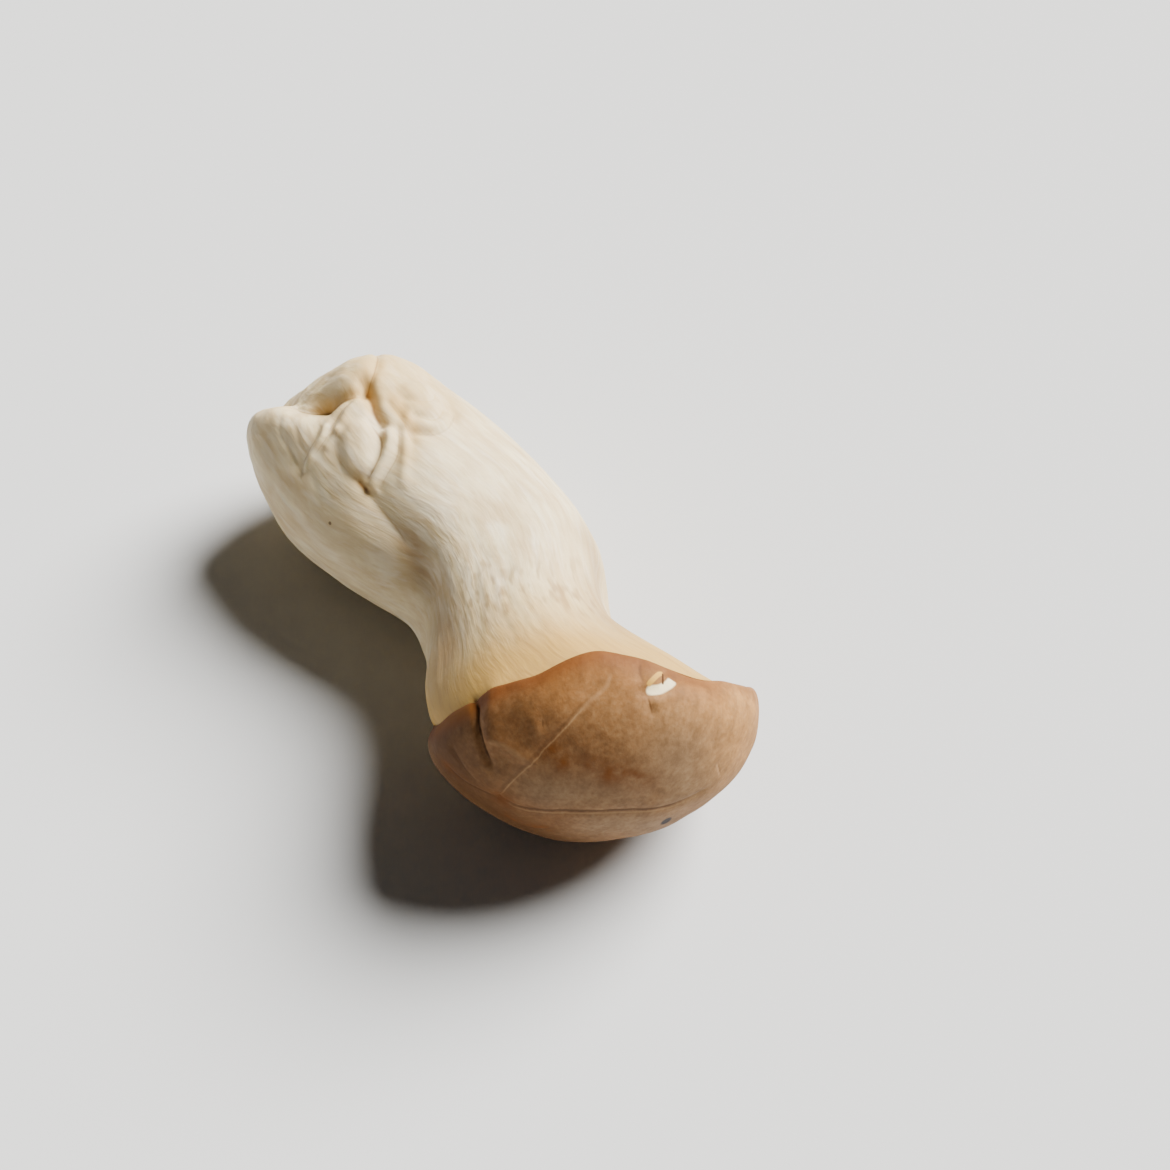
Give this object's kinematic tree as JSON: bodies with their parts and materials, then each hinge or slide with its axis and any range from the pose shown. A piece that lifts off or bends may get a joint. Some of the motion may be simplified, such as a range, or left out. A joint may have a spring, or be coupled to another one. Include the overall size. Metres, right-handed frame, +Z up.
{
  "type": "king oyster mushroom",
  "caption": "Whole fresh king oyster mushroom lying on its side: stout pale stem with a folded base, narrow neck, and an inrolled brown cap with gills under its rim.",
  "frame": {"origin": "on the surface it lies on, under the middle of its box", "axes": "+X from the base of the stem to the crown of the cap, +Z up"},
  "size_m": [0.1346, 0.0648, 0.0585],
  "materials": {
    "mushroom_flesh": "satin, slightly moist, cream stem and gills under a tan to brown cap skin"
  },
  "bodies": {
    "root": {"king_oyster_mushroom": "mushroom_flesh"}
  },
  "joints": []
}
